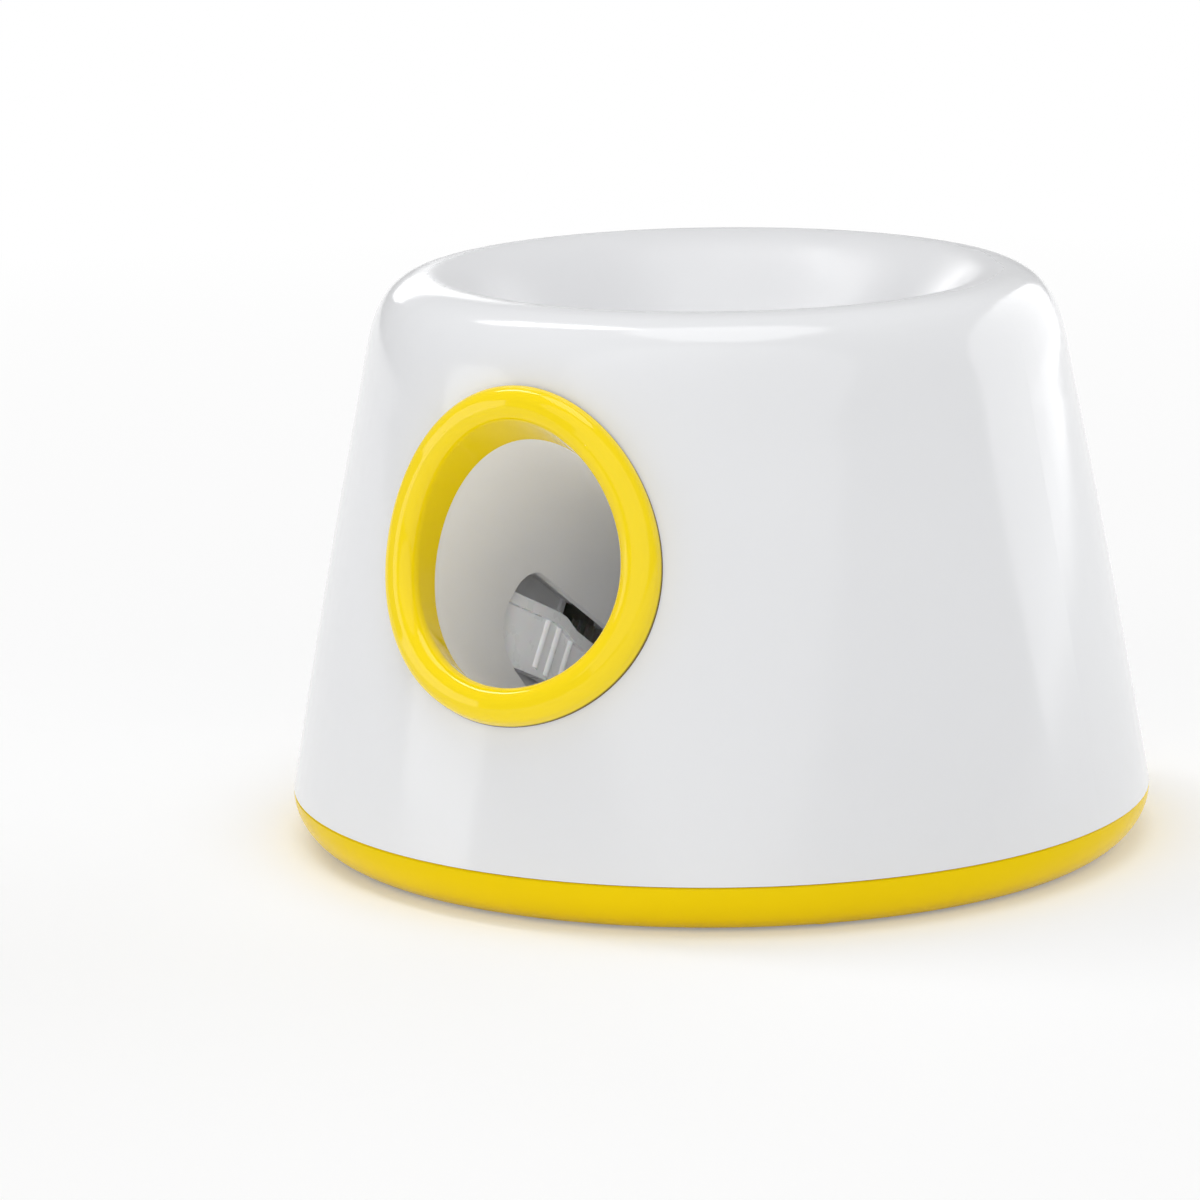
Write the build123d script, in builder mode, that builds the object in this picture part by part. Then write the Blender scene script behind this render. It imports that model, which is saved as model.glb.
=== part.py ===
from build123d import *
import math
import os

os.makedirs("parts", exist_ok=True)

# Automatic ball launcher for dogs: a round case with a dished top that feeds balls to a
# slanted barrel, where a motor-cocked, spring-driven hammer strikes them out of the ring.
# Millimetres and degrees. +Z is up, the floor is at z = 0, the case's axis is the Z axis
# and the balls leave toward -Y.

# ---- Driving dimensions ----

# Ball and fits
ball_diameter = 50.0
fit_gap = 0.3            # round pieces that slide into each other at assembly
running_gap = 0.05       # round a shaft in the hole that it turns or sits in
seam_gap = 0.3           # between the base and the shell

# Case
case_radius = 132.5      # outside of the cone at the seam
seam_height = 15.4       # lower edge of the shell
cone_slope = 0.1731      # narrowing of the cone at the seam, per millimetre of height
cone_bow = 0.00012       # how fast that slope grows further up
shoulder_height = 139.0  # where the cone turns into the shoulder
shoulder_lead = 17.5     # how far the shoulder first keeps to the cone's direction
case_height = 174.6      # crest of the rim round the dish
crest_radius = case_radius - 46.5
crest_lead = 19.0        # how far the crest stays level, outward
dish_lead = 16.0         # and inward
dish_floor_height = 140.0
dish_floor_radius = 30.0
dish_foot_lead = 25.0    # how far the dish's foot stays level
shell_wall = 2.5

# Base tray
base_clearance = 1.0     # underside above the floor
base_wall = 2.5
lip_height = 3.6         # register lip above the seam
lip_wall = 2.0
screw_circle = case_radius - 14.0   # radius on which the case's screws stand
column_radius = 5.5
column_top = 20.0
foot_radius = 9.0
foot_circle = case_radius - 27.5
foot_height = 2.2
foot_recess = 1.2

# Launch ring and barrel, which slope together
launch_angle = 33.0
launch_height = 106.0    # where the barrel's axis leaves the cone
barrel_bore = 35.5
barrel_wall = 2.5
barrel_reach = 11.646    # how far the barrel's rear wall lies behind the case's axis
barrel_floor_height = 8.0
ring_bore = 35.3
ring_half_width = 46.7
ring_half_height = 45.9
ring_stand = 5.5         # how proud of the cone the lip stands
ring_round = 4.6
sleeve_wall = 2.0
sleeve_depth = 10.5

# Drop way from the dish to the barrel
drop_radius = 27.5
drop_wall = 2.5
chute_ear_reach = drop_radius + 9.5
chute_ear_height = dish_floor_height - 15.0

# Hammer, in the barrel's frame: x to the side, depth along the axis, height across it
hammer_x = -46.0
hammer_inset = 6.0       # from the barrel's rear wall forward to the hammer's axis
arm_length = 78.0
arm_thickness = 4.5
hub_radius = 8.0
hub_bottom = -14.5
hub_top = 17.5
pin_radius = 2.0

# Gears
sector_module = 1.5
sector_teeth = 20        # teeth that a full wheel would have
drive_teeth = 14
toothed_part = 6         # teeth that each of the two part-toothed gears keeps
train_module = 0.8
wheel_teeth = 48
pinion_teeth = 12
pressure_angle = 25.0
backlash = 0.08          # taken off each tooth's thickness
axle_radius = 1.5
motor_shaft_radius = 1.0
idler_bearing = 256.8    # direction from the drive gear's axle to the idler's
motor_bearing = 265.0    # direction from the idler's axle to the motor's
deck_bottom = 12.0
plate_thickness = 2.5
idler_wheel_bottom = 16.0
idler_wheel_width = 4.5
train_wheel_bottom = 22.0
train_wheel_width = 5.0
sector_bottom = 28.5
sector_width = 7.0
spring_bottom = 36.5
spring_top = 42.3
cover_bottom = 43.5

# Motor
motor_radius = 12.2
motor_length = 30.0
motor_screw_pitch = 16.0

# Rear controls
panel_height = 50.0
panel_width = 56.0
panel_tall = 34.0
panel_round = 6.0
panel_sink = 1.0         # floor below the edges of the window
panel_wall = 2.0
button_radius = 5.85
button_spacing = 28.0
button_travel = 1.5
lens_radius = 1.5
board_thickness = 1.6

# Battery
cell_radius = 9.2
cell_length = 65.0
cell_spacing = 19.0
battery_x = foot_circle - 34.0      # middle of the two cells

# Screws: shank radius and head radius of the two sizes
screw_radius = 1.45
screw_head = 3.0
small_screw_radius = 1.05
small_screw_head = 2.0


# ---- Shapes that several pieces share ----

def cone_lean(height):
    """Slope of the cone's wall at a height."""
    return cone_slope + 2 * cone_bow * (height - seam_height)


def wall_radius(height):
    """Outside radius of the cone at a height."""
    rise = height - seam_height
    return case_radius - cone_slope * rise - cone_bow * rise**2


def case_block(grow=0.0):
    """Solid inside the case's outer surface, with that surface moved out by grow."""
    def on_wall(height):
        lean = math.atan(cone_lean(height))
        return (wall_radius(height) + grow * math.cos(lean), height + grow * math.sin(lean))

    lean = math.atan(cone_lean(shoulder_height))
    round_share = 0.55   # a control arm grows by this share of the offset, as on a circle
    steep_share = 0.65   # the dish's steep middle moves sideways by this share
    arm = shoulder_lead + round_share * grow
    edge = on_wall(shoulder_height)
    turn = (edge[0] - arm * math.sin(lean), edge[1] + arm * math.cos(lean))
    top = case_height + grow
    floor = dish_floor_height + grow
    skirt = -20.0
    with BuildPart() as block:
        with BuildSketch(Plane.XZ):
            with BuildLine():
                wall = ThreePointArc(on_wall(skirt), on_wall((skirt + shoulder_height) / 2), edge)
                crest = (crest_radius, top)
                Bezier(edge, turn, (crest_radius + crest_lead + round_share * grow, top), crest)
                Bezier(
                    crest,
                    (crest_radius - dish_lead - steep_share * grow, top),
                    (dish_floor_radius + dish_foot_lead - steep_share * grow, floor),
                    (dish_floor_radius, floor),
                )
                foot = wall @ 0
                Polyline((dish_floor_radius, floor), (0, floor), (0, foot.Y), (foot.X, foot.Y))
            make_face()
        revolve(axis=Axis.Z)
    return block.part


tilt = math.radians(launch_angle)
inward = Vector(0, math.cos(tilt), -math.sin(tilt))
mouth = Vector(0, -wall_radius(launch_height), launch_height)
launcher = Plane(origin=mouth, x_dir=(1, 0, 0), z_dir=(0, math.sin(tilt), math.cos(tilt)))


def place(x, depth, height):
    """Point given in the barrel's frame."""
    return launcher.from_local_coords(Vector(x, depth, height))


def level(height):
    """Plane along the barrel, square to the gear axles; its x and y are side and depth."""
    return launcher.offset(height)


def across(depth):
    """Plane square to the barrel's axis, facing the mouth; its y is height."""
    return Plane(origin=place(0, depth, 0), x_dir=(1, 0, 0), z_dir=-inward)


def beside(x):
    """Upright plane along the barrel, facing +X; its x and y are depth and height."""
    return Plane(origin=place(x, 0, 0), x_dir=inward, z_dir=(1, 0, 0))


def rod(plane, radius, length, spot=(0, 0)):
    """Round solid that stands on a plane."""
    with BuildPart() as body:
        with BuildSketch(plane):
            with Locations(spot):
                Circle(radius)
        extrude(amount=length)
    return body.part


def screw(radius, length, head):
    """Pan-head screw with a cross recess: its seat is at z = 0 and it points down."""
    head_height = 0.8 * head
    with BuildPart() as body:
        with BuildSketch():
            Circle(radius)
        extrude(amount=-length)
        with BuildSketch():
            Circle(head)
        extrude(amount=head_height, taper=12)
        with BuildSketch(Plane.XY.offset(head_height)):
            Rectangle(1.1 * head, 0.25 * head)
            Rectangle(0.25 * head, 1.1 * head)
        extrude(amount=-head_height / 2, mode=Mode.SUBTRACT)
    return body.part


def tooth_points(module, teeth):
    """Outline of one tooth about +X: root, base circle, pitch circle and tip."""
    pitch = module * teeth / 2
    base = pitch * math.cos(math.radians(pressure_angle))
    root = pitch - 1.25 * module
    tip = pitch + module

    def unroll(radius):
        pressure = math.acos(min(1.0, base / radius))
        return math.tan(pressure) - pressure

    half_tooth = math.pi / (2 * teeth) - backlash / (2 * pitch)
    flank = []
    for radius in (max(base, root + 0.01), pitch, (pitch + tip) / 2, tip):
        angle = half_tooth + unroll(pitch) - unroll(radius)
        flank.append((radius * math.cos(angle), radius * math.sin(angle)))
    foot_angle = half_tooth + unroll(pitch)
    foot = (0.96 * root * math.cos(foot_angle), 0.96 * root * math.sin(foot_angle))
    half = [foot] + flank
    return half + [(x, -y) for x, y in reversed(half)]


def gear_outline(module, teeth, first_angle, kept=None):
    """Root disc and teeth, drawn at the origin of the sketch that is open."""
    kept = kept or teeth
    pitch_angle = 360 / teeth
    Circle(module * teeth / 2 - 1.25 * module)
    for index in range(kept):
        Polygon(
            *tooth_points(module, teeth),
            rotation=first_angle + index * pitch_angle,
            align=None,
        )


def mate_angle(bearing, first_angle, teeth, mate_teeth):
    """Angle of the mate's first tooth, so that it meshes with a gear at this bearing."""
    phase = ((bearing - first_angle) * teeth / 360) % 1.0
    return bearing + 180 - (0.5 - phase) * 360 / mate_teeth


def axle_plane(axle, height):
    """Level plane with its origin on an axle, given as (x, depth)."""
    return Plane(origin=place(axle[0], axle[1], height), x_dir=(1, 0, 0), z_dir=launcher.z_dir)


def step_from(axle, bearing, distance):
    angle = math.radians(bearing)
    return (axle[0] + distance * math.cos(angle), axle[1] + distance * math.sin(angle))


# ---- Places that follow from the driving dimensions ----

base_top = seam_height - seam_gap
floor_top = base_clearance + base_wall
barrel_outer = barrel_bore + barrel_wall
barrel_depth = (wall_radius(launch_height) + barrel_reach) / math.cos(tilt)
hammer_depth = barrel_depth - hammer_inset
sleeve_outer = ring_bore + sleeve_wall
opening_radius = sleeve_outer + fit_gap
barrel_back = barrel_depth + barrel_wall
socket_depth = sleeve_depth + fit_gap
rail_x = 12.0
rail_width = 3.0
rail_front = 50.0
rail_top = -math.sqrt((ball_diameter / 2) ** 2 - (rail_x - rail_width / 2) ** 2)

hammer_axle = (hammer_x, hammer_depth)
sector_pitch = sector_module * sector_teeth / 2
drive_pitch = sector_module * drive_teeth / 2
train_distance = train_module * (wheel_teeth + pinion_teeth) / 2
drive_axle_at = step_from(hammer_axle, 180, sector_pitch + drive_pitch)
idler_axle_at = step_from(drive_axle_at, idler_bearing, train_distance)
motor_at = step_from(idler_axle_at, motor_bearing, train_distance)
deck_top = deck_bottom + plate_thickness
cover_top = cover_bottom + plate_thickness
bore_radius = axle_radius + running_gap

pocket_side = hammer_x - 7.5          # outer face of the pocket beside the barrel
pocket_wall = 2.0
pocket_front = hammer_depth - arm_length - 15.0
pocket_rear = hammer_depth - hub_radius - 3.0
pocket_bottom = -20.0
pocket_top = 27.5
pocket_inner = -33.0                  # where the pocket's hollow ends beside the barrel
window_front = pocket_front + 5.3     # outline of the window between the bore and the pocket
window_top = 17.8
window_bottom = pocket_bottom + 2.0
window_sill = -8.1                    # height at which the sloping sill would meet the front
vent_front = pocket_front + 59.0      # the pocket's upper outer corner is open behind this
vent_bottom = 14.0
vent_length = 40.0
vent_height = 20.0
vent_cut = 15.5
rib_width = 3.6
rib_stand = 1.7
window_slope = 33.6      # depth behind the pocket's front where the sloping sill ends
window_round = 6.5
window_curve = 19.0

# ---- Outer shell: cone, shoulder and dish in one moulding ----

cradle_y = 25.83 - wall_radius(launch_height)   # where the barrel's front is carried
chute_boss_radius = 4.0
shell_boss_radius = 4.5
shell_boss_top = 64.0
rib_width = 2.0

panel_lean = math.degrees(math.atan(cone_lean(panel_height)))
panel_radius = wall_radius(panel_height)
panel_face = Plane(
    origin=(0, panel_radius, panel_height),
    x_dir=(-1, 0, 0),
    z_dir=(0, math.cos(math.radians(panel_lean)), math.sin(math.radians(panel_lean))),
)
panel_edge_drop = panel_radius - math.sqrt(panel_radius**2 - (panel_width / 2) ** 2)
panel_floor = -(panel_edge_drop + panel_sink)
panel_back = panel_floor - panel_wall
flange_front = panel_back - 5.8
flange_back = flange_front - panel_wall
board_front = flange_back - 4.0
board_back = board_front - board_thickness
panel_screws = GridLocations(panel_width + 12, panel_tall - 8, 2, 2)

with BuildPart() as shell_core:
    add(case_block(-shell_wall))
    with BuildSketch(Plane.XY.offset(column_top)):
        with PolarLocations(screw_circle, 4, start_angle=45):
            Circle(shell_boss_radius)
        with PolarLocations(screw_circle + shell_boss_radius + 2, 4, start_angle=45):
            Rectangle(12, rib_width)
    extrude(amount=shell_boss_top - column_top, mode=Mode.SUBTRACT)
    with BuildSketch(Plane.XY.offset(chute_ear_height)):
        with GridLocations(2 * chute_ear_reach, 0, 2, 1):
            Circle(chute_boss_radius)
    extrude(amount=30, mode=Mode.SUBTRACT)
    with BuildSketch(panel_face.offset(flange_front)):
        with panel_screws:
            Circle(chute_boss_radius)
    extrude(amount=12, mode=Mode.SUBTRACT)

with BuildPart() as outer_shell:
    add(case_block())
    add(shell_core.part, mode=Mode.SUBTRACT)
    split(bisect_by=Plane.XY.offset(seam_height), keep=Keep.TOP)
    add(rod(Plane.XY.offset(dish_floor_height - 10), drop_radius, 20), mode=Mode.SUBTRACT)
    add(rod(across(50), opening_radius, 100), mode=Mode.SUBTRACT)
    with BuildSketch(panel_face.offset(flange_front)):
        RectangleRounded(panel_width, panel_tall, panel_round)
    extrude(amount=20, mode=Mode.SUBTRACT)
    # Pilot holes in the bosses
    with BuildSketch(Plane.XY.offset(column_top)):
        with PolarLocations(screw_circle, 4, start_angle=45):
            Circle(screw_radius + running_gap)
    extrude(amount=16, mode=Mode.SUBTRACT)
    with BuildSketch(Plane.XY.offset(chute_ear_height)):
        with GridLocations(2 * chute_ear_reach, 0, 2, 1):
            Circle(small_screw_radius + running_gap)
    extrude(amount=9, mode=Mode.SUBTRACT)
    with BuildSketch(panel_face.offset(flange_front)):
        with panel_screws:
            Circle(small_screw_radius + running_gap)
    extrude(amount=4.8, mode=Mode.SUBTRACT)
    throat_edge = outer_shell.edges().filter_by(GeomType.CIRCLE).filter_by(
        lambda edge: abs(edge.radius - drop_radius) < 0.01
    )
    fillet(throat_edge.sort_by(Axis.Z)[-1], radius=shell_wall * 0.6)

outer_shell.part.label = "outer_shell"
export_step(outer_shell.part, "parts/outer_shell.step")

# ---- Launch ring: a soft lip on the cone and a sleeve into the barrel ----

with BuildPart() as ring_seat:
    add(case_block())
    add(rod(across(60), sleeve_outer, 120), mode=Mode.SUBTRACT)

with BuildPart() as launch_ring:
    with BuildSketch(across(40)):
        Ellipse(ring_half_width, ring_half_height)
    extrude(amount=100)
    add(case_block(ring_stand), mode=Mode.INTERSECT)
    add(rod(across(60), ring_bore, 140), mode=Mode.SUBTRACT)
    lip_face = launch_ring.faces().sort_by(Axis(mouth, -inward))[-1]
    fillet(lip_face.edges(), radius=ring_round)
    add(ring_seat.part, mode=Mode.SUBTRACT)
    add(case_block().moved(Location(inward * sleeve_depth)), mode=Mode.SUBTRACT)

launch_ring.part.label = "launch_ring"
export_step(launch_ring.part, "parts/launch_ring.step")

# ---- Base tray: floor, wall, screw columns, barrel cradle and battery tub ----

lip_outer = wall_radius(seam_height + lip_height) - shell_wall * 1.03 - fit_gap
lip_inner = lip_outer - lip_wall
wall_inner = case_radius - base_wall
cradle_half = 45.0
cradle_thickness = 3.0
ear_thickness = 3.0
ear_seat = place(0, (cradle_y - mouth.Y) / inward.Y, 0).Z - ear_thickness / 2

door_thickness = base_wall - 0.2
tub_wall = 2.0
tub_inner_x = cell_spacing + 2 * cell_radius + 2 * fit_gap
tub_inner_y = cell_length + 3.0
cell_height = base_clearance + base_wall + fit_gap + cell_radius
tub_inner_top = cell_height + cell_radius + fit_gap
door_length = tub_inner_y + 20.0
door_width = tub_inner_x + 4.0
door_screw_y = tub_inner_y / 2 + 4.5

tongue_half = 12.0
tongue_length = 16.0
barrel_foot = barrel_floor_height - barrel_wall

with BuildPart() as base_tray:
    with BuildSketch(Plane.XZ):
        with BuildLine():
            outside = Bezier(
                (case_radius - 8.9, base_clearance),
                (case_radius - 4, base_clearance + 2.5),
                (case_radius, base_clearance + 8),
                (case_radius, base_top - 0.5),
            )
            Polyline(
                outside @ 1,
                (case_radius - 0.5, base_top),
                (lip_outer, base_top),
                (lip_outer, seam_height + lip_height),
                (lip_inner, seam_height + lip_height),
                (lip_inner, base_top - 3),
                (wall_inner, base_top - 3 - (wall_inner - lip_inner)),
            )
            inside = Bezier(
                (wall_inner, base_top - 3 - (wall_inner - lip_inner)),
                (wall_inner, floor_top + 2),
                (wall_inner - 3, floor_top),
                (wall_inner - 8, floor_top),
            )
            Polyline(inside @ 1, (0, floor_top), (0, base_clearance), outside @ 0)
        make_face()
    revolve(axis=Axis.Z)
    # Screw columns
    with BuildSketch(Plane.XY.offset(base_clearance)):
        with PolarLocations(screw_circle, 4, start_angle=45):
            Circle(column_radius)
    extrude(amount=column_top - base_clearance)
    # Cradle that carries the barrel's front
    with BuildSketch(Plane.XY.offset(floor_top)):
        with Locations((0, cradle_y)):
            Rectangle(2 * cradle_half, cradle_thickness)
            with GridLocations(2 * cradle_half, 0, 2, 1):
                Circle(column_radius - 0.5)
    extrude(amount=ear_seat - floor_top)
    add(rod(across(100), barrel_outer + fit_gap, 140), mode=Mode.SUBTRACT)
    with BuildSketch(Plane.XY.offset(ear_seat)):
        with Locations((0, cradle_y)):
            with GridLocations(2 * cradle_half, 0, 2, 1):
                Circle(screw_radius + running_gap)
    extrude(amount=-14, mode=Mode.SUBTRACT)
    # Two ribs under the barrel and a bridge over its tongue
    with BuildSketch(Plane.XY.offset(floor_top)):
        with Locations((0, -11)):
            with GridLocations(24, 0, 2, 1):
                Rectangle(3, 26)
    extrude(amount=barrel_foot - floor_top)
    with BuildSketch(Plane.XY.offset(floor_top)):
        with Locations((0, tongue_length - 3)):
            Rectangle(2 * tongue_half + 8, 5)
    extrude(amount=barrel_floor_height + 3 - floor_top)
    with BuildSketch(Plane.XY.offset(barrel_foot - fit_gap)):
        with Locations((0, tongue_length - 3)):
            Rectangle(2 * tongue_half + 2 * fit_gap, 5)
    extrude(amount=barrel_wall + 2 * fit_gap, mode=Mode.SUBTRACT)
    # Battery tub, open below
    with BuildSketch(Plane.XY.offset(floor_top)):
        with Locations((battery_x, 0)):
            Rectangle(door_width + 4, door_length + 4)
    extrude(amount=1.5)
    with BuildSketch(Plane.XY.offset(floor_top)):
        with Locations((battery_x, 0)):
            Rectangle(tub_inner_x + 2 * tub_wall, tub_inner_y + 2 * tub_wall)
            with GridLocations(0, 2 * door_screw_y, 1, 2):
                Circle(3.5)
    extrude(amount=tub_inner_top + tub_wall - floor_top)
    with BuildSketch(Plane.XY.offset(base_clearance)):
        with Locations((battery_x, 0)):
            RectangleRounded(door_width, door_length, 3)
    extrude(amount=base_wall, mode=Mode.SUBTRACT)
    with BuildSketch(Plane.XY.offset(base_clearance)):
        with Locations((battery_x, 0)):
            Rectangle(tub_inner_x, tub_inner_y)
    extrude(amount=tub_inner_top - base_clearance, mode=Mode.SUBTRACT)
    with BuildSketch(Plane.XY.offset(floor_top)):
        with Locations((battery_x, 0)):
            with GridLocations(0, 2 * door_screw_y, 1, 2):
                Circle(small_screw_radius + running_gap)
    extrude(amount=8, mode=Mode.SUBTRACT)
    # Screw holes with deep counterbores, and recesses for the feet
    with BuildSketch(Plane.XY.offset(base_clearance)):
        with PolarLocations(screw_circle, 4, start_angle=45):
            Circle(screw_radius + fit_gap)
    extrude(amount=column_top - base_clearance, mode=Mode.SUBTRACT)
    with BuildSketch(Plane.XY.offset(base_clearance)):
        with PolarLocations(screw_circle, 4, start_angle=45):
            Circle(screw_head + 2 * fit_gap)
    extrude(amount=column_top / 2 - base_clearance, mode=Mode.SUBTRACT)
    with BuildSketch(Plane.XY.offset(base_clearance)):
        with PolarLocations(foot_circle, 4):
            Circle(foot_radius + fit_gap)
    extrude(amount=foot_recess, mode=Mode.SUBTRACT)

base_tray.part.label = "base_tray"
export_step(base_tray.part, "parts/base_tray.step")

with BuildPart() as rubber_feet:
    with PolarLocations(foot_circle, 4):
        Cylinder(foot_radius, foot_height, align=(Align.CENTER, Align.CENTER, Align.MIN))
    chamfer(rubber_feet.edges().group_by(Axis.Z)[0], length=0.5)

rubber_feet.part.label = "rubber_feet"
export_step(rubber_feet.part, "parts/rubber_feet.step")

# ---- Barrel: bore, ring socket, hammer pocket, gearbox lugs and mounting ears ----

frame_screw_spots = [
    (pocket_side - 6.5, hammer_depth - 56.0),
    (hammer_x - 10.0, hammer_depth + 15.0),
]
lug_radius = 5.0
bracket_depth = hammer_depth + hub_radius + 2.5
sensor_depth = barrel_depth - ball_diameter * 0.68
sensor_hole = 2.6
sensor_seat = barrel_outer + 1.5

with BuildPart() as socket_collar:
    add(rod(across(60), sleeve_outer + fit_gap + barrel_wall, 110))
    add(
        case_block().moved(Location(inward * (socket_depth + barrel_wall))),
        mode=Mode.SUBTRACT,
    )

with BuildPart() as socket_hollow:
    add(rod(across(60), sleeve_outer + fit_gap, 110))
    add(case_block().moved(Location(inward * socket_depth)), mode=Mode.SUBTRACT)

with BuildPart() as pocket_hollow:
    with BuildSketch(beside(pocket_side + pocket_wall)):
        with BuildLine():
            Polyline(
                (pocket_front + pocket_wall, pocket_bottom + pocket_wall),
                (barrel_back + 20, pocket_bottom + pocket_wall),
                (barrel_back + 20, pocket_top - pocket_wall),
                (pocket_front + pocket_wall, pocket_top - pocket_wall),
                close=True,
            )
        make_face()
    extrude(amount=pocket_inner - pocket_side - pocket_wall)
    add(rod(across(barrel_back + 30), barrel_outer, 200), mode=Mode.SUBTRACT)

with BuildPart() as bore_hollow:
    add(rod(across(barrel_depth), barrel_bore, barrel_depth + 60))
    split(bisect_by=Plane.XY.offset(barrel_floor_height), keep=Keep.TOP)

with BuildPart() as drop_hollow:
    add(rod(Plane.XY, drop_radius, launch_height + 40))
    split(bisect_by=launcher, keep=Keep.TOP)

with BuildPart() as barrel_tube:
    add(rod(across(barrel_back), barrel_outer, barrel_back + 40))
    add(socket_collar.part)
    # Pocket beside the bore, where the hammer lies when it is at rest
    with BuildSketch(beside(pocket_side)):
        with BuildLine():
            Polyline(
                (pocket_front, pocket_bottom),
                (pocket_rear, pocket_bottom),
                (pocket_rear, pocket_top),
                (pocket_front, pocket_top),
                close=True,
            )
        make_face()
    extrude(amount=pocket_inner + pocket_wall - pocket_side)
    # Mounting ears on the cradle, and the seat of the ball sensor
    with BuildSketch(Plane.XY.offset(ear_seat)):
        with Locations((0, cradle_y)):
            Rectangle(2 * cradle_half, 2 * column_radius)
            with GridLocations(2 * cradle_half, 0, 2, 1):
                Circle(column_radius)
    extrude(amount=ear_thickness)
    with BuildSketch(beside(barrel_bore - 5)):
        with Locations((sensor_depth, 0)):
            Rectangle(16, 14)
    extrude(amount=sensor_seat - barrel_bore + 5)
    # Ear under the hammer's hub, rear bracket and the lugs under the gearbox
    with BuildSketch(level(pocket_bottom + 0.5)):
        with Locations(hammer_axle):
            Circle(hub_radius - 1)
        with Locations((hammer_x + 9, hammer_depth)):
            Rectangle(18, 2 * hub_radius - 2)
    extrude(amount=hub_bottom - 0.5 - pocket_bottom - 0.5)
    with BuildSketch(level(pocket_bottom + 0.5)):
        with Locations((hammer_x, bracket_depth + 1.5)):
            Rectangle(36, 3)
        with Locations((hammer_x + 17, barrel_depth)):
            Rectangle(8, bracket_depth + 3 - barrel_depth, align=(Align.CENTER, Align.MIN))
        with Locations(frame_screw_spots[1]):
            Circle(lug_radius)
    extrude(amount=deck_bottom - pocket_bottom - 0.5)
    with BuildSketch(level(deck_bottom)):
        with Locations(frame_screw_spots[0]):
            Circle(lug_radius)
            with Locations((lug_radius, 0)):
                Rectangle(2 * lug_radius + 4, 2 * lug_radius)
    extrude(amount=-12)
    # Front end inside the shell
    add(case_block(-shell_wall - fit_gap), mode=Mode.INTERSECT)
    # Hollows
    add(socket_hollow.part, mode=Mode.SUBTRACT)
    add(bore_hollow.part, mode=Mode.SUBTRACT)
    add(pocket_hollow.part, mode=Mode.SUBTRACT)
    add(drop_hollow.part, mode=Mode.SUBTRACT)
    with BuildSketch(beside(pocket_side + pocket_wall)) as window:
        with BuildLine():
            Polyline(
                (window_front, window_sill),
                (window_front, window_top),
                (barrel_depth, window_top),
                (barrel_depth, window_bottom),
                (pocket_front + window_slope, window_bottom),
                close=True,
            )
        make_face()
        fillet(window.vertices().sort_by(Axis.X)[:2].sort_by(Axis.Y)[-1], radius=window_round)
        fillet(window.vertices().sort_by(Axis.X)[:2].sort_by(Axis.Y)[0], radius=window_curve)
    extrude(amount=-pocket_side - pocket_wall - 15, mode=Mode.SUBTRACT)
    # Opening in the pocket's upper outer corner, with a rib along its front edge
    with BuildSketch(beside(pocket_side)):
        with Locations((vent_front, vent_bottom)):
            Rectangle(vent_length, vent_height, align=(Align.MIN, Align.MIN))
    extrude(amount=vent_cut, mode=Mode.SUBTRACT)
    with BuildSketch(beside(pocket_side + pocket_wall - 0.5)):
        with Locations((vent_front - 2.4, (pocket_bottom + pocket_top) / 2)):
            Rectangle(rib_width, pocket_top - pocket_bottom - 2 * pocket_wall + 1)
    extrude(amount=rib_stand)
    with BuildSketch(axle_plane(hammer_axle, hub_bottom - 0.5)):
        Circle(hub_radius + 1)
    extrude(amount=pocket_top - hub_bottom, mode=Mode.SUBTRACT)
    # Rails that carry the ball on the barrel's axis
    with BuildSketch(across(barrel_depth - 11)):
        with GridLocations(2 * rail_x, 0, 2, 1):
            with Locations((0, -barrel_bore + 1)):
                Rectangle(
                    rail_width, barrel_bore - 1 + rail_top, align=(Align.CENTER, Align.MIN)
                )
    extrude(amount=barrel_depth - 11 - rail_front)
    split(bisect_by=Plane.XY.offset(barrel_foot), keep=Keep.TOP)
    # Tongue that slides under the base's bridge
    with BuildSketch(Plane.XY.offset(barrel_foot)):
        with Locations((0, tongue_length / 2 - 1)):
            Rectangle(2 * tongue_half, tongue_length + 2)
    extrude(amount=barrel_wall)
    # Holes: ear screws, sensor, hammer pin and gearbox screws
    with BuildSketch(Plane.XY.offset(ear_seat)):
        with Locations((0, cradle_y)):
            with GridLocations(2 * cradle_half, 0, 2, 1):
                Circle(screw_radius + fit_gap)
    extrude(amount=ear_thickness, mode=Mode.SUBTRACT)
    add(
        rod(beside(barrel_bore - 5), sensor_hole, 20, (sensor_depth, 0)),
        mode=Mode.SUBTRACT,
    )
    add(
        rod(axle_plane(hammer_axle, pocket_bottom), pin_radius + running_gap, 6),
        mode=Mode.SUBTRACT,
    )
    with BuildSketch(level(deck_bottom)):
        with Locations(*frame_screw_spots):
            Circle(small_screw_radius + running_gap)
    extrude(amount=-9, mode=Mode.SUBTRACT)

barrel_tube.part.label = "barrel_tube"
export_step(barrel_tube.part, "parts/barrel_tube.step")

# ---- Drop chute between the dish and the barrel ----

with BuildPart() as chute_block:
    with BuildSketch(Plane.XY.offset(barrel_foot)):
        Circle(drop_radius + drop_wall)
    extrude(amount=case_height)
    with BuildSketch(Plane.XY.offset(chute_ear_height)):
        Rectangle(2 * chute_ear_reach, 9)
        with GridLocations(2 * chute_ear_reach, 0, 2, 1):
            Circle(4.5)
    extrude(amount=-3)
    add(rod(Plane.XY, drop_radius, case_height + 10), mode=Mode.SUBTRACT)
    with BuildSketch(Plane.XY.offset(chute_ear_height)):
        with GridLocations(2 * chute_ear_reach, 0, 2, 1):
            Circle(small_screw_radius + fit_gap)
    extrude(amount=-3, mode=Mode.SUBTRACT)
    add(case_block(-shell_wall - 0.2), mode=Mode.INTERSECT)
    add(rod(across(barrel_back + 20), barrel_outer + fit_gap, 220), mode=Mode.SUBTRACT)

with BuildPart() as drop_chute:
    add(chute_block.solids().sort_by(Axis.Z)[-1])

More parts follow.
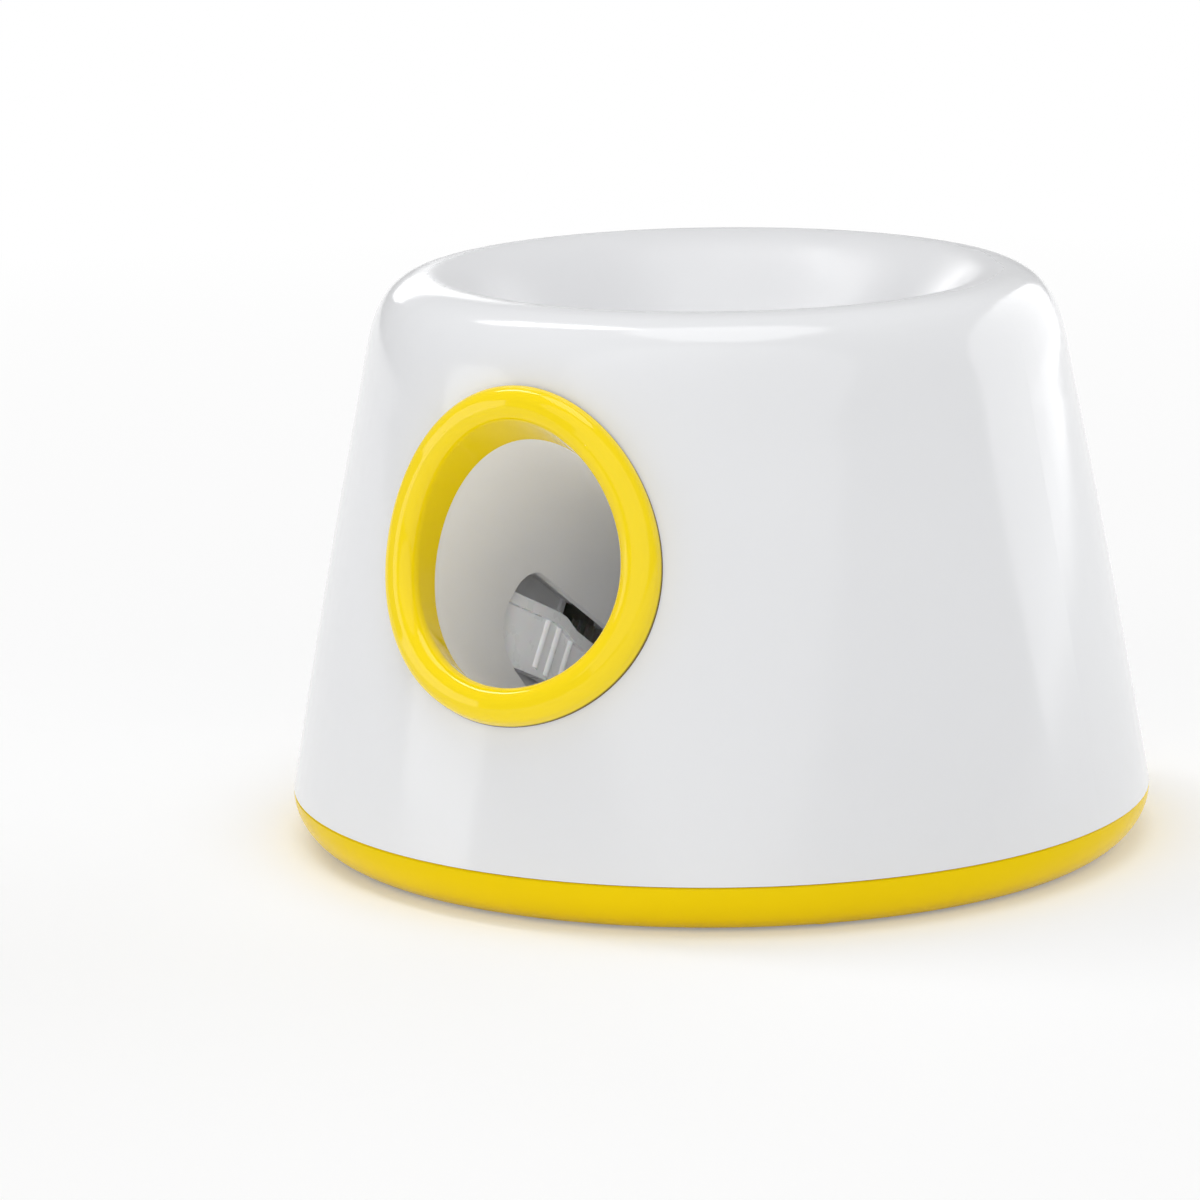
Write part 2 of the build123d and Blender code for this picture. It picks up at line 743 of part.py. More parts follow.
drop_chute.part.label = "drop_chute"
export_step(drop_chute.part, "parts/drop_chute.step")

# ---- Hammer: ribbed arm, hub and part-toothed sector in one moulding ----

arm_outer = hammer_x - 2.5
arm_tip = hammer_depth - arm_length
band_height = 3.5
hub_collar = 4.2
arm_root = hammer_depth - hub_radius / 2
arm_top = [(arm_tip, 12.6), (arm_tip + 29, 17.2), (arm_tip + 34, 17.2), (arm_tip + 41, 15.7)]
arm_bottom = [(arm_root, -1.0), (arm_tip + 33, -3.7), (arm_tip + 13, -7.1), (arm_tip, -9.5)]

with BuildPart() as hammer:
    with BuildSketch(beside(arm_outer)) as blade:
        with BuildLine():
            Polyline(*arm_top, (arm_root, arm_top[-1][1]), *arm_bottom, close=True)
        make_face()
        fillet(blade.vertices().sort_by(Axis.X)[:2], radius=4)
    extrude(amount=arm_thickness)
    # Band along the top edge
    with BuildSketch(beside(arm_outer)) as band:
        with BuildLine():
            lower = [(x, y - band_height) for x, y in reversed(arm_top)]
            Polyline(
                *arm_top,
                (arm_root, arm_top[-1][1]),
                (arm_root, arm_top[-1][1] - band_height),
                *lower,
                close=True,
            )
        make_face()
        fillet(band.vertices().sort_by(Axis.X)[:2], radius=1.6)
    extrude(amount=arm_thickness + 2)
    # Three soft ribs across the face
    with BuildSketch(axle_plane((arm_outer + arm_thickness - 0.6, 0), -2.5)):
        with Locations((0, arm_tip + 27), (0, arm_tip + 34), (0, arm_tip + 42)):
            Circle(1.5)
    extrude(amount=16)
    # Hub, sector and spring seat
    with BuildSketch(axle_plane(hammer_axle, hub_bottom)):
        Circle(hub_radius)
    extrude(amount=hub_top - hub_bottom)
    with BuildSketch(axle_plane(hammer_axle, hub_top)):
        Circle(hub_collar + 0.3)
    extrude(amount=sector_bottom - hub_top)
    with BuildSketch(axle_plane(hammer_axle, sector_bottom)):
        gear_outline(sector_module, sector_teeth, 90, toothed_part)
        Polygon((0, 0), (-40, -7), (-40, 40), (7, 40), align=None, mode=Mode.INTERSECT)
        Circle(hub_radius)
    extrude(amount=sector_width)
    with BuildSketch(axle_plane(hammer_axle, sector_bottom + sector_width)):
        Circle(hub_collar)
    extrude(amount=spring_top - sector_bottom - sector_width)
    with BuildSketch(axle_plane(hammer_axle, hub_bottom)):
        Circle(pin_radius + running_gap)
    extrude(amount=spring_top - hub_bottom, mode=Mode.SUBTRACT)

hammer.part.label = "hammer"
export_step(hammer.part, "parts/hammer.step")

with BuildPart() as hammer_pin:
    add(rod(axle_plane(hammer_axle, pocket_bottom), pin_radius, cover_top - pocket_bottom))
    chamfer(hammer_pin.edges().filter_by(GeomType.CIRCLE), length=0.4)

hammer_pin.part.label = "hammer_pin"
export_step(hammer_pin.part, "parts/hammer_pin.step")

spring_wire = 0.6
spring_turns = 3
spring_radius = hub_collar + fit_gap + spring_wire
spring_rise = spring_top - spring_bottom - 2 * spring_wire
spring_plane = axle_plane(hammer_axle, spring_bottom + spring_wire)

with BuildPart() as hammer_spring:
    with BuildLine():
        coil = Helix(
            pitch=spring_rise / spring_turns,
            height=spring_rise,
            radius=spring_radius,
            center=spring_plane.origin,
            direction=spring_plane.z_dir,
        )
    with BuildSketch(Plane(origin=coil @ 0, z_dir=coil % 0)):
        RegularPolygon(spring_wire, 6)
    sweep(path=coil)
    # Legs to the sector and to the gearbox cover
    add(
        rod(
            Plane(origin=coil @ 0, z_dir=-(coil % 0)),
            spring_wire,
            8,
        )
    )
    add(rod(Plane(origin=coil @ 1, z_dir=coil % 1), spring_wire, 9))

hammer_spring.part.label = "hammer_spring"
export_step(hammer_spring.part, "parts/hammer_spring.step")

with BuildPart() as hammer_bumper:
    with BuildSketch(beside(pocket_side + pocket_wall)):
        with Locations((arm_tip + 14, 3)):
            RectangleRounded(18, 12, 2)
    extrude(amount=arm_outer - fit_gap - pocket_side - pocket_wall)

hammer_bumper.part.label = "hammer_bumper"
export_step(hammer_bumper.part, "parts/hammer_bumper.step")

# ---- Gearbox: deck, cover, standoffs and axles ----

post_radius = 3.5
plate_edge = 6.0
posts = [
    (hammer_x - 4, hammer_depth + 21),
    (drive_axle_at[0] - 25.5, drive_axle_at[1] + 2),
    (idler_axle_at[0] - 25, idler_axle_at[1] - 3.6),
    (idler_axle_at[0] + 19, idler_axle_at[1] - 17.6),
]

with BuildPart() as gearbox_frame:
    with BuildSketch(level(deck_bottom)):
        with Locations(*posts[:3], *frame_screw_spots):
            Circle(plate_edge)
        with Locations(motor_at):
            Circle(motor_radius + 2)
        make_hull()
        # Clear of the hammer's pocket and hub
        with Locations((pocket_side - fit_gap, hammer_depth + 10)):
            Rectangle(80, 200, align=(Align.MIN, Align.MAX), mode=Mode.SUBTRACT)
        with Locations(hammer_axle):
            Circle(hub_radius + 1.5, mode=Mode.SUBTRACT)
    extrude(amount=plate_thickness)
    with BuildSketch(level(deck_top)):
        with Locations(*posts):
            Circle(post_radius)
    extrude(amount=cover_bottom - deck_top)
    with BuildSketch(level(cover_bottom)):
        with Locations(*posts):
            Circle(small_screw_radius + running_gap)
    extrude(amount=-10, mode=Mode.SUBTRACT)
    # Holes for the frame screws, the axles, the motor's nose and its screws
    with BuildSketch(level(deck_bottom)):
        with Locations(*frame_screw_spots):
            Circle(small_screw_radius + fit_gap)
        with Locations(drive_axle_at, idler_axle_at):
            Circle(bore_radius)
        with Locations(motor_at):
            Circle(3.7)
            with GridLocations(motor_screw_pitch, 0, 2, 1):
                Circle(small_screw_radius + fit_gap)
    extrude(amount=plate_thickness, mode=Mode.SUBTRACT)

gearbox_frame.part.label = "gearbox_frame"
export_step(gearbox_frame.part, "parts/gearbox_frame.step")

with BuildPart() as gearbox_cover:
    with BuildSketch(level(cover_bottom)):
        with Locations(*posts):
            Circle(plate_edge)
        with Locations(hammer_axle):
            Circle(hub_radius)
        make_hull()
        with Locations(*posts):
            Circle(small_screw_radius + fit_gap, mode=Mode.SUBTRACT)
        with Locations(drive_axle_at, idler_axle_at):
            Circle(bore_radius, mode=Mode.SUBTRACT)
        with Locations(hammer_axle):
            Circle(pin_radius + running_gap, mode=Mode.SUBTRACT)
    extrude(amount=plate_thickness)
    # Window over the wheels
    with BuildSketch(level(cover_bottom)):
        with Locations((idler_axle_at[0], idler_axle_at[1] + 12)):
            SlotOverall(24, 8)
    extrude(amount=plate_thickness, mode=Mode.SUBTRACT)

gearbox_cover.part.label = "gearbox_cover"
export_step(gearbox_cover.part, "parts/gearbox_cover.step")

with BuildPart() as drive_axle:
    add(rod(axle_plane(drive_axle_at, deck_bottom), axle_radius, cover_top - deck_bottom))

drive_axle.part.label = "drive_axle"
export_step(drive_axle.part, "parts/drive_axle.step")

with BuildPart() as idler_axle:
    add(rod(axle_plane(idler_axle_at, deck_bottom), axle_radius, cover_top - deck_bottom))

idler_axle.part.label = "idler_axle"
export_step(idler_axle.part, "parts/idler_axle.step")

# ---- Gears: the drive gear's few teeth cock the hammer and then let it go ----

drive_first = mate_angle(180, 180, sector_teeth, drive_teeth)
idler_first = mate_angle(idler_bearing, 0, wheel_teeth, pinion_teeth)
motor_first = mate_angle(motor_bearing, 0, wheel_teeth, pinion_teeth)

with BuildPart() as drive_gear:
    with BuildSketch(axle_plane(drive_axle_at, train_wheel_bottom)):
        gear_outline(train_module, wheel_teeth, 0)
        # Lightening holes
        with PolarLocations(12.5, 6, start_angle=30):
            Circle(3.2, mode=Mode.SUBTRACT)
    extrude(amount=train_wheel_width)
    with BuildSketch(axle_plane(drive_axle_at, train_wheel_bottom)):
        Circle(drive_pitch - 2.5 * sector_module)
    extrude(amount=sector_bottom - train_wheel_bottom)
    with BuildSketch(axle_plane(drive_axle_at, sector_bottom)):
        gear_outline(sector_module, drive_teeth, drive_first, toothed_part)
    extrude(amount=sector_width)
    with BuildSketch(axle_plane(drive_axle_at, deck_top + 0.4)):
        Circle(3.2)
    extrude(amount=train_wheel_bottom - deck_top - 0.4)
    with BuildSketch(axle_plane(drive_axle_at, sector_bottom + sector_width)):
        Circle(3.2)
    extrude(amount=cover_bottom - 0.4 - sector_bottom - sector_width)
    with BuildSketch(axle_plane(drive_axle_at, deck_top)):
        Circle(bore_radius)
    extrude(amount=cover_bottom - deck_top, mode=Mode.SUBTRACT)

drive_gear.part.label = "drive_gear"
export_step(drive_gear.part, "parts/drive_gear.step")

idler_pinion_top = train_wheel_bottom + train_wheel_width + 0.5

with BuildPart() as idler_gear:
    with BuildSketch(axle_plane(idler_axle_at, idler_wheel_bottom)):
        gear_outline(train_module, wheel_teeth, 0)
        with PolarLocations(12.5, 6, start_angle=0):
            Circle(3.2, mode=Mode.SUBTRACT)
    extrude(amount=idler_wheel_width)
    with BuildSketch(axle_plane(idler_axle_at, idler_wheel_bottom + idler_wheel_width)):
        gear_outline(train_module, pinion_teeth, idler_first)
    extrude(amount=idler_pinion_top - idler_wheel_bottom - idler_wheel_width)
    with BuildSketch(axle_plane(idler_axle_at, deck_top + 0.4)):
        Circle(3.2)
    extrude(amount=idler_wheel_bottom - deck_top - 0.4)
    with BuildSketch(axle_plane(idler_axle_at, deck_top)):
        Circle(bore_radius)
    extrude(amount=cover_bottom - deck_top, mode=Mode.SUBTRACT)

idler_gear.part.label = "idler_gear"
export_step(idler_gear.part, "parts/idler_gear.step")

# ---- Motor ----

motor_bottom = deck_bottom - motor_length
cap_length = 3.0
pinion_bottom = deck_top + 1.0

with BuildPart() as motor_can:
    with BuildSketch(axle_plane(motor_at, motor_bottom)):
        Circle(motor_radius)
    extrude(amount=motor_length)
    chamfer(motor_can.edges().filter_by(GeomType.CIRCLE), length=0.8)
    with BuildSketch(axle_plane(motor_at, deck_bottom)):
        Circle(3.4)
    extrude(amount=1.8)
    with BuildSketch(axle_plane(motor_at, deck_bottom)):
        with GridLocations(motor_screw_pitch, 0, 2, 1):
            Circle(small_screw_radius + running_gap)
    extrude(amount=-4, mode=Mode.SUBTRACT)
    with BuildSketch(axle_plane(motor_at, motor_bottom)):
        Circle(motor_shaft_radius + running_gap)
    extrude(amount=motor_length + 2, mode=Mode.SUBTRACT)

motor_can.part.label = "motor_can"
export_step(motor_can.part, "parts/motor_can.step")

with BuildPart() as motor_end_cap:
    with BuildSketch(axle_plane(motor_at, motor_bottom)):
        Circle(motor_radius - 0.8)
    extrude(amount=-cap_length)
    with BuildSketch(axle_plane(motor_at, motor_bottom - cap_length)):
        Circle(4)
        # Solder terminals
        with GridLocations(14, 0, 2, 1):
            Rectangle(0.6, 2.4)
    extrude(amount=-2)
    with BuildSketch(axle_plane(motor_at, motor_bottom)):
        Circle(motor_shaft_radius + running_gap)
    extrude(amount=-cap_length, mode=Mode.SUBTRACT)

motor_end_cap.part.label = "motor_end_cap"
export_step(motor_end_cap.part, "parts/motor_end_cap.step")

shaft_bottom = motor_bottom - cap_length + 0.5
pinion_top = idler_wheel_bottom + idler_wheel_width + 0.5

with BuildPart() as motor_shaft:
    add(rod(axle_plane(motor_at, shaft_bottom), motor_shaft_radius, pinion_top - shaft_bottom))

motor_shaft.part.label = "motor_shaft"
export_step(motor_shaft.part, "parts/motor_shaft.step")

with BuildPart() as motor_pinion:
    with BuildSketch(axle_plane(motor_at, pinion_bottom)):
        gear_outline(train_module, pinion_teeth, motor_first)
        Circle(motor_shaft_radius + running_gap, mode=Mode.SUBTRACT)
    extrude(amount=pinion_top - pinion_bottom)

motor_pinion.part.label = "motor_pinion"
export_step(motor_pinion.part, "parts/motor_pinion.step")

# ---- Ball sensor, beside the ball that waits before the hammer ----

with BuildPart() as ball_sensor:
    with BuildSketch(beside(sensor_seat)):
        with Locations((sensor_depth, 0)):
            RectangleRounded(14, 12, 1.5)
    extrude(amount=7)
    with BuildSketch(beside(sensor_seat)):
        with Locations((sensor_depth, 0)):
            Circle(sensor_hole - running_gap)
    extrude(amount=-3)

ball_sensor.part.label = "ball_sensor"
export_step(ball_sensor.part, "parts/ball_sensor.step")

# ---- Rear controls ----

usb_width = 8.94
usb_height = 3.26
usb_spot = (0, -7.5)
lens_spots = [(-4, 9), (0, 9), (4, 9)]
button_v = 4.0
switch_top = board_front + 3.5
switch_plunger = switch_top + 1.0
tub_width = panel_width - 2 * fit_gap
tub_tall = panel_tall - 2 * fit_gap

with BuildPart() as control_panel:
    with BuildSketch(panel_face.offset(flange_back)):
        RectangleRounded(tub_width, tub_tall, panel_round - fit_gap)
    extrude(amount=-flange_back + 8)
    add(case_block(), mode=Mode.INTERSECT)
    with BuildSketch(panel_face.offset(panel_floor)):
        RectangleRounded(tub_width - 6, tub_tall - 6, panel_round - 3)
    extrude(amount=20, mode=Mode.SUBTRACT)
    with BuildSketch(panel_face.offset(flange_back)):
        RectangleRounded(panel_width + 20, panel_tall + 2, 4)
    extrude(amount=panel_wall)
    with BuildSketch(panel_face.offset(flange_back)):
        with panel_screws:
            Circle(3)
    extrude(amount=board_front - flange_back)
    with BuildSketch(panel_face.offset(flange_back)):
        RectangleRounded(
            tub_width - 2 * panel_wall, tub_tall - 2 * panel_wall, panel_round - panel_wall
        )
    extrude(amount=panel_back - flange_back, mode=Mode.SUBTRACT)
    # Holes for the screws, the buttons, the lenses and the charging socket
    with BuildSketch(panel_face.offset(board_front)):
        with panel_screws:
            Circle(small_screw_radius + fit_gap)
        with GridLocations(button_spacing, 0, 2, 1):
            with Locations((0, button_v)):
                Circle(button_radius + fit_gap)
        with Locations(*lens_spots):
            Circle(lens_radius + running_gap)
        with Locations(usb_spot):
            SlotOverall(usb_width + 2 * fit_gap, usb_height + 2 * fit_gap)
    extrude(amount=panel_floor - board_front, mode=Mode.SUBTRACT)

control_panel.part.label = "control_panel"
export_step(control_panel.part, "parts/control_panel.step")


def push_button(side):
    """Button cap with a retaining flange and a stem to its switch."""
    spot = (side * button_spacing / 2, button_v)
    cap_front = panel_floor + 1.2
    flange_top = panel_back - fit_gap
    with BuildPart() as button:
        add(rod(panel_face.offset(flange_top - 1.2), button_radius + 1.2, 1.2, spot))
        add(rod(panel_face.offset(flange_top), button_radius, cap_front - flange_top, spot))
        rim = button.edges().filter_by(GeomType.CIRCLE).sort_by(Axis(panel_face.origin, panel_face.z_dir))
        chamfer(rim[-1], length=0.5)
        stem_end = switch_plunger + button_travel + fit_gap
        add(rod(panel_face.offset(stem_end), 2, flange_top - stem_end, spot))
    return button.part


with BuildPart() as power_button:
    add(push_button(-1))

power_button.part.label = "power_button"
export_step(power_button.part, "parts/power_button.step")

with BuildPart() as distance_button:
    add(push_button(1))

distance_button.part.label = "distance_button"
export_step(distance_button.part, "parts/distance_button.step")

with BuildPart() as indicator_lenses:
    with BuildSketch(panel_face.offset(panel_back)):
        with Locations(*lens_spots):
            Circle(lens_radius)
    extrude(amount=panel_wall + 0.4)

indicator_lenses.part.label = "indicator_lenses"
export_step(indicator_lenses.part, "parts/indicator_lenses.step")

with BuildPart() as control_board:
    with BuildSketch(panel_face.offset(board_back)):
        RectangleRounded(panel_width + 20, panel_tall + 2, 3)
        with panel_screws:
            Circle(small_screw_radius + fit_gap, mode=Mode.SUBTRACT)
    extrude(amount=board_thickness)

control_board.part.label = "control_board"
export_step(control_board.part, "parts/control_board.step")

with BuildPart() as board_switches:
    with BuildSketch(panel_face.offset(board_front)):
        with GridLocations(button_spacing, 0, 2, 1):
            with Locations((0, button_v)):
                RectangleRounded(6, 6, 0.5)
    extrude(amount=switch_top - board_front)
    with BuildSketch(panel_face.offset(switch_top)):
        with GridLocations(button_spacing, 0, 2, 1):
            with Locations((0, button_v)):
                Circle(1.7)
    extrude(amount=switch_plunger - switch_top)

board_switches.part.label = "board_switches"
export_step(board_switches.part, "parts/board_switches.step")

with BuildPart() as usb_port:
    with BuildSketch(panel_face.offset(board_front)):
        with Locations(usb_spot):
            SlotOverall(usb_width, usb_height)
    extrude(amount=panel_floor - 0.8 - board_front)
    with BuildSketch(panel_face.offset(panel_floor - 0.8)):
        with Locations(usb_spot):
            SlotOverall(usb_width - 0.7, usb_height - 0.7)
            Rectangle(6.7, 0.7, mode=Mode.SUBTRACT)
    extrude(amount=-6.5, mode=Mode.SUBTRACT)

usb_port.part.label = "usb_port"
export_step(usb_port.part, "parts/usb_port.step")

with BuildPart() as beeper:
    add(rod(panel_face.offset(board_front), 6, 4.5, (18, -8)))
    add(rod(panel_face.offset(board_front + 3), 1, 3, (18, -8)), mode=Mode.SUBTRACT)

beeper.part.label = "beeper"
export_step(beeper.part, "parts/beeper.step")

# ---- Battery ----

with BuildPart() as battery_cells:
    with BuildSketch(Plane.XZ.offset(-cell_length / 2)):
        with Locations((battery_x, cell_height)):
            with GridLocations(cell_spacing, 0, 2, 1):
                Circle(cell_radius)
    extrude(amount=cell_length)
    with BuildSketch(Plane.XZ.offset(cell_length / 2)):
        with Locations((battery_x, cell_height)):
            with GridLocations(cell_spacing, 0, 2, 1):
                Circle(3)
    extrude(amount=1)

battery_cells.part.label = "battery_cells"
export_step(battery_cells.part, "parts/battery_cells.step")

with BuildPart() as battery_door:
    with BuildSketch(Plane.XY.offset(base_clearance)):
        with Locations((battery_x, 0)):
            RectangleRounded(door_width - 2 * fit_gap, door_length - 2 * fit_gap, 3 - fit_gap)
            with GridLocations(0, 2 * door_screw_y, 1, 2):
                Circle(small_screw_radius + fit_gap, mode=Mode.SUBTRACT)
    extrude(amount=base_wall)
    # Countersunk recesses for the screw heads
    with BuildSketch(Plane.XY.offset(base_clearance)):
        with Locations((battery_x, 0)):
            with GridLocations(0, 2 * door_screw_y, 1, 2):
                Circle(small_screw_head + fit_gap)
    extrude(amount=1.7, mode=Mode.SUBTRACT)

battery_door.part.label = "battery_door"
export_step(battery_door.part, "parts/battery_door.step")

# ---- Screws, one node for each set ----

upward = (180, 0, 0)


def screw_set(places, radius, length, head):
    """One screw at each place; a place's z axis points out of the screw's head."""
    with BuildPart() as screws:
        for spot in places:
            add(screw(radius, length, head).moved(spot))
    return screws


base_screw_places = [
    Location((spot.position.X, spot.position.Y, column_top / 2), upward)
    for spot in PolarLocations(screw_circle, 4, start_angle=45)
]
base_screws = screw_set(base_screw_places, screw_radius, column_top / 2 + 12, screw_head)
base_screws.part.label = "base_screws"
export_step(base_screws.part, "parts/base_screws.step")

barrel_screw_places = [
    Location((side * cradle_half, cradle_y, ear_seat + ear_thickness)) for side in (-1, 1)
]
barrel_screws = screw_set(barrel_screw_places, screw_radius, 14, screw_head)
barrel_screws.part.label = "barrel_screws"
export_step(barrel_screws.part, "parts/barrel_screws.step")

chute_screw_places = [
    Location((side * chute_ear_reach, 0, chute_ear_height - 3), upward) for side in (-1, 1)
]
chute_screws = screw_set(chute_screw_places, small_screw_radius, 11, small_screw_head)
chute_screws.part.label = "chute_screws"
export_step(chute_screws.part, "parts/chute_screws.step")

door_screw_places = [
    Location((battery_x, side * door_screw_y, base_clearance + 1.7), upward) for side in (-1, 1)
]
door_screws = screw_set(door_screw_places, small_screw_radius, 8, small_screw_head)
door_screws.part.label = "door_screws"
export_step(door_screws.part, "parts/door_screws.step")

gearbox_screw_places = [axle_plane(post, cover_top).location for post in posts]
gearbox_screws = screw_set(gearbox_screw_places, small_screw_radius, 11, small_screw_head)
gearbox_screws.part.label = "gearbox_screws"
export_step(gearbox_screws.part, "parts/gearbox_screws.step")

frame_screw_places = [axle_plane(spot, deck_top).location for spot in frame_screw_spots]
frame_screws = screw_set(frame_screw_places, small_screw_radius, 10, small_screw_head)
frame_screws.part.label = "frame_screws"
export_step(frame_screws.part, "parts/frame_screws.step")

motor_screw_places = [
    axle_plane((motor_at[0] + side * motor_screw_pitch / 2, motor_at[1]), deck_top).location
    for side in (-1, 1)
]
motor_screws = screw_set(motor_screw_places, small_screw_radius, 6, small_screw_head)
motor_screws.part.label = "motor_screws"
export_step(motor_screws.part, "parts/motor_screws.step")

board_plane = Plane(
    origin=panel_face.offset(board_back).origin, x_dir=(1, 0, 0), z_dir=-panel_face.z_dir
)
board_screw_places = [board_plane.location * spot for spot in panel_screws]
board_screws = screw_set(board_screw_places, small_screw_radius, 11.4, small_screw_head)
board_screws.part.label = "board_screws"
export_step(board_screws.part, "parts/board_screws.step")
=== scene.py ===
import math
import bmesh
import bpy
from mathutils import Matrix, Vector

# Automatic ball launcher for dogs: a finish for every piece, then floor, camera and lights.
# Metres, +Z up, floor at z = 0. The balls leave toward -Y.

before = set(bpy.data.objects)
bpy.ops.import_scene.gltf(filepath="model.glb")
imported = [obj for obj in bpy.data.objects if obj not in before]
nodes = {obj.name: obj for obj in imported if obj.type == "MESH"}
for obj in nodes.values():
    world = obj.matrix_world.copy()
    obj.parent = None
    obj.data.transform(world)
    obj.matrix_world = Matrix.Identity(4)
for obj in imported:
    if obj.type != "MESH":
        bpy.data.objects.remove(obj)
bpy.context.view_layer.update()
print("frame loaded:", len(nodes), "pieces")


# Shader helpers. Sizes are in metres, in the launcher's own coordinates, and each dictionary
# that ends in Look holds what to change in one finish.

def startFinish(name):
    material = bpy.data.materials.new(name)
    material.use_nodes = True
    tree = material.node_tree
    shader = tree.nodes["Principled BSDF"]
    where = tree.nodes.new("ShaderNodeTexCoord").outputs["Object"]
    return material, tree, shader, where


# Noise with lumps about as large as size; a stretch above 1 makes them longer that way
def grain(tree, where, size, detail=2.0, stretch=(1.0, 1.0, 1.0), turn=(0.0, 0.0, 0.0)):
    mapping = tree.nodes.new("ShaderNodeMapping")
    mapping.inputs["Rotation"].default_value = turn
    mapping.inputs["Scale"].default_value = [1.0 / (size * part) for part in stretch]
    noise = tree.nodes.new("ShaderNodeTexNoise")
    noise.inputs["Scale"].default_value = 1.0
    noise.inputs["Detail"].default_value = detail
    tree.links.new(where, mapping.inputs["Vector"])
    tree.links.new(mapping.outputs["Vector"], noise.inputs["Vector"])
    return noise.outputs["Fac"]


# Runs from low to high while value goes from start to end, and stays flat outside
def between(tree, value, low, high, start=0.3, end=0.7):
    node = tree.nodes.new("ShaderNodeMapRange")
    node.inputs["From Min"].default_value = start
    node.inputs["From Max"].default_value = end
    node.inputs["To Min"].default_value = low
    node.inputs["To Max"].default_value = high
    tree.links.new(value, node.inputs["Value"])
    return node.outputs["Result"]


def calculate(tree, kind, first, second):
    node = tree.nodes.new("ShaderNodeMath")
    node.operation = kind
    for index, value in enumerate((first, second)):
        if isinstance(value, (int, float)):
            node.inputs[index].default_value = value
        else:
            tree.links.new(value, node.inputs[index])
    return node.outputs["Value"]


def mixColours(tree, share, first, second):
    node = tree.nodes.new("ShaderNodeMix")
    node.data_type = "RGBA"
    tree.links.new(share, node.inputs["Factor"])
    for index, value in ((6, first), (7, second)):  # the colour sockets A and B
        if isinstance(value, tuple):
            node.inputs[index].default_value = (*value, 1.0)
        else:
            tree.links.new(value, node.inputs[index])
    return node.outputs[2]


# Bump of this depth on top of the one under it
def relief(tree, height, depth, under=None):
    node = tree.nodes.new("ShaderNodeBump")
    node.inputs["Strength"].default_value = 1.0
    node.inputs["Distance"].default_value = depth
    tree.links.new(height, node.inputs["Height"])
    if under:
        tree.links.new(under, node.inputs["Normal"])
    return node.outputs["Normal"]


# Distance from the origin after each axis is weighed, such as (1, 1, 0) for the distance from Z
def scaled(tree, where, weights):
    node = tree.nodes.new("ShaderNodeVectorMath")
    node.operation = "MULTIPLY"
    node.inputs[1].default_value = weights
    tree.links.new(where, node.inputs[0])
    length = tree.nodes.new("ShaderNodeVectorMath")
    length.operation = "LENGTH"
    tree.links.new(node.outputs["Vector"], length.inputs[0])
    return length.outputs["Value"]


# One coordinate, by its letter
def axisPart(tree, where, axis):
    node = tree.nodes.new("ShaderNodeSeparateXYZ")
    tree.links.new(where, node.inputs["Vector"])
    return node.outputs[axis]


# Values that are the same all over, set on the shader's own sockets
def setPlain(shader, **values):
    for label, value in values.items():
        shader.inputs[label.replace("_", " ")].default_value = value


smudgeShare = 0.35  # size of the smudges in the gloss against that of the colour drift


# Injection-moulded plastic: slow colour drift, flow texture in the gloss, orange-peel relief
def mouldedPlastic(name, look):
    material, tree, shader, where = startFinish(name)
    drift = between(tree, grain(tree, where, look["driftSize"], detail=3.0), 0.0, 1.0)
    colour = mixColours(tree, drift, look["colour"], look["drift"])
    smudge = grain(tree, where, look["driftSize"] * smudgeShare, detail=4.0)
    gloss = between(tree, smudge, *look["gloss"])
    wear = look.get("wear")
    if wear:
        # Fine scuffs that gather toward one end of the piece
        along = axisPart(tree, where, wear["axis"])
        worn = between(tree, along, 1.0, 0.0, wear["from"], wear["to"])
        scuffs = grain(tree, where, wear["size"], detail=6.0, stretch=wear["stretch"])
        scuffs = between(tree, scuffs, 0.0, 1.0, *wear["spread"])
        share = calculate(tree, "MULTIPLY", worn, scuffs)
        colour = mixColours(tree, share, colour, wear["colour"])
        gloss = calculate(tree, "ADD", gloss, calculate(tree, "MULTIPLY", share, wear["rough"]))
    tree.links.new(colour, shader.inputs["Base Color"])
    tree.links.new(gloss, shader.inputs["Roughness"])
    peel = grain(tree, where, look["peelSize"], detail=1.5)
    fine = grain(tree, where, look["fineSize"], detail=2.0)
    bump = relief(tree, fine, look["fineDepth"], relief(tree, peel, look["peelDepth"]))
    tree.links.new(bump, shader.inputs["Normal"])
    setPlain(shader, IOR=look.get("ior", 1.5), **look.get("plain", {}))
    return material


# Metal with drawn or turned lines along one direction
def drawnMetal(name, look):
    material, tree, shader, where = startFinish(name)
    turn = look.get("turn", (0.0, 0.0, 0.0))
    lines = grain(tree, where, look["lineSize"], detail=4.0, stretch=look["stretch"], turn=turn)
    patches = between(tree, grain(tree, where, look["patchSize"], detail=3.0), 0.0, 1.0)
    colour = mixColours(tree, patches, look["colour"], look["tarnish"])
    tree.links.new(colour, shader.inputs["Base Color"])
    gloss = between(tree, lines, *look["gloss"])
    tree.links.new(gloss, shader.inputs["Roughness"])
    tree.links.new(relief(tree, lines, look["lineDepth"]), shader.inputs["Normal"])
    setPlain(shader, Metallic=1.0)
    return material


# Gives the finish to every slot of these pieces
def dress(material, *names):
    for name in names:
        for slot in nodes[name].material_slots:
            slot.material = material


# Case: white gloss shell, yellow ring and base, black feet

